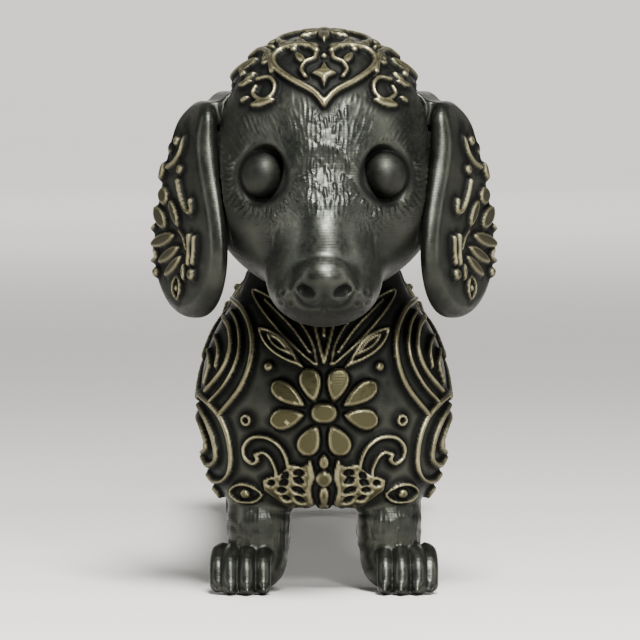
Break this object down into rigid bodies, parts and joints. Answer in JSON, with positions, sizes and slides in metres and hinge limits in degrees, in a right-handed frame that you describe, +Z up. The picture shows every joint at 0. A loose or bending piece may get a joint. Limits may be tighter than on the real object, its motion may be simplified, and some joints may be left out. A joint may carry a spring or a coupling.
{
  "type": "articulated toy dachshund",
  "caption": "Articulated desk toy: a dachshund whose long body and tail are chains of hinged links that wind from side to side, with a nodding, turning head and swinging ears.",
  "frame": {"origin": "on the surface it stands on, under the middle of its length and width", "axes": "+Z up, -Y the way the dog faces, +X to the dog's own left"},
  "size_m": [0.0358, 0.187, 0.06],
  "materials": {
    "bronze": "printed plastic in dark antique bronze, with brass-coloured raised ornament",
    "dark_bronze": "the same printed plastic without highlights"
  },
  "bodies": {
    "head": {"head": "bronze"},
    "ear_left": {"ear_left": "bronze"},
    "ear_right": {"ear_right": "bronze"},
    "neck_link": {"neck_link": "dark_bronze"},
    "chest": {"chest": "bronze"},
    "spine_link_1": {"spine_link_1": "bronze"},
    "spine_link_2": {"spine_link_2": "bronze"},
    "spine_link_3": {"spine_link_3": "bronze"},
    "spine_link_4": {"spine_link_4": "bronze"},
    "spine_link_5": {"spine_link_5": "bronze"},
    "spine_link_6": {"spine_link_6": "bronze"},
    "spine_link_7": {"spine_link_7": "bronze"},
    "spine_link_8": {"spine_link_8": "bronze"},
    "spine_link_9": {"spine_link_9": "bronze"},
    "hips": {"hips": "bronze"},
    "tail_link_1": {"tail_link_1": "bronze"},
    "tail_link_2": {"tail_link_2": "bronze"},
    "tail_link_3": {"tail_link_3": "bronze"},
    "tail_link_4": {"tail_link_4": "bronze"},
    "tail_link_5": {"tail_link_5": "bronze"},
    "tail_link_6": {"tail_link_6": "bronze"}
  },
  "joints": [
    {"name": "neck_turn", "type": "hinge", "parent": "chest", "child": "neck_link", "pos_m": [0, -0.06285, 0.03], "axis": [0, 0, 1], "range_deg": [-30, 30]},
    {"name": "head_nod", "type": "hinge", "parent": "neck_link", "child": "head", "pos_m": [0, -0.06685, 0.0415], "axis": [-1, 0, 0], "range_deg": [0, 22]},
    {"name": "ear_left_swing", "type": "hinge", "parent": "head", "child": "ear_left", "pos_m": [0.01, -0.07535, 0.052], "axis": [-0.342, -0.9397, 0], "range_deg": [0, 35]},
    {"name": "ear_right_swing", "type": "hinge", "parent": "head", "child": "ear_right", "pos_m": [-0.01, -0.07535, 0.052], "axis": [-0.342, 0.9397, 0], "range_deg": [0, 35]},
    {"name": "spine_hinge_1", "type": "hinge", "parent": "chest", "child": "spine_link_1", "pos_m": [0, -0.05055, 0.0214], "axis": [0, 0, 1], "range_deg": [-11, 11]},
    {"name": "spine_hinge_2", "type": "hinge", "parent": "spine_link_1", "child": "spine_link_2", "pos_m": [0, -0.04235, 0.0214], "axis": [0, 0, 1], "range_deg": [-11, 11]},
    {"name": "spine_hinge_3", "type": "hinge", "parent": "spine_link_2", "child": "spine_link_3", "pos_m": [0, -0.03415, 0.0214], "axis": [0, 0, 1], "range_deg": [-11, 11]},
    {"name": "spine_hinge_4", "type": "hinge", "parent": "spine_link_3", "child": "spine_link_4", "pos_m": [0, -0.02595, 0.0214], "axis": [0, 0, 1], "range_deg": [-11, 11]},
    {"name": "spine_hinge_5", "type": "hinge", "parent": "spine_link_4", "child": "spine_link_5", "pos_m": [0, -0.01775, 0.0214], "axis": [0, 0, 1], "range_deg": [-11, 11]},
    {"name": "spine_hinge_6", "type": "hinge", "parent": "spine_link_5", "child": "spine_link_6", "pos_m": [0, -0.00955, 0.0214], "axis": [0, 0, 1], "range_deg": [-11, 11]},
    {"name": "spine_hinge_7", "type": "hinge", "parent": "spine_link_6", "child": "spine_link_7", "pos_m": [0, -0.00135, 0.0214], "axis": [0, 0, 1], "range_deg": [-11, 11]},
    {"name": "spine_hinge_8", "type": "hinge", "parent": "spine_link_7", "child": "spine_link_8", "pos_m": [0, 0.00685, 0.0214], "axis": [0, 0, 1], "range_deg": [-11, 11]},
    {"name": "spine_hinge_9", "type": "hinge", "parent": "spine_link_8", "child": "spine_link_9", "pos_m": [0, 0.01505, 0.0214], "axis": [0, 0, 1], "range_deg": [-11, 11]},
    {"name": "spine_hinge_10", "type": "hinge", "parent": "spine_link_9", "child": "hips", "pos_m": [0, 0.02325, 0.0214], "axis": [0, 0, 1], "range_deg": [-11, 11]},
    {"name": "tail_hinge_1", "type": "hinge", "parent": "hips", "child": "tail_link_1", "pos_m": [0, 0.04525, 0.025], "axis": [0, 0, 1], "range_deg": [-22, 22]},
    {"name": "tail_hinge_2", "type": "hinge", "parent": "tail_link_1", "child": "tail_link_2", "pos_m": [0, 0.05165, 0.025], "axis": [0, 0, 1], "range_deg": [-22, 22]},
    {"name": "tail_hinge_3", "type": "hinge", "parent": "tail_link_2", "child": "tail_link_3", "pos_m": [0, 0.05805, 0.025], "axis": [0, 0, 1], "range_deg": [-22, 22]},
    {"name": "tail_hinge_4", "type": "hinge", "parent": "tail_link_3", "child": "tail_link_4", "pos_m": [0, 0.06445, 0.025], "axis": [0, 0, 1], "range_deg": [-22, 22]},
    {"name": "tail_hinge_5", "type": "hinge", "parent": "tail_link_4", "child": "tail_link_5", "pos_m": [0, 0.07085, 0.025], "axis": [0, 0, 1], "range_deg": [-22, 22]},
    {"name": "tail_hinge_6", "type": "hinge", "parent": "tail_link_5", "child": "tail_link_6", "pos_m": [0, 0.07725, 0.025], "axis": [0, 0, 1], "range_deg": [-22, 22]}
  ]
}
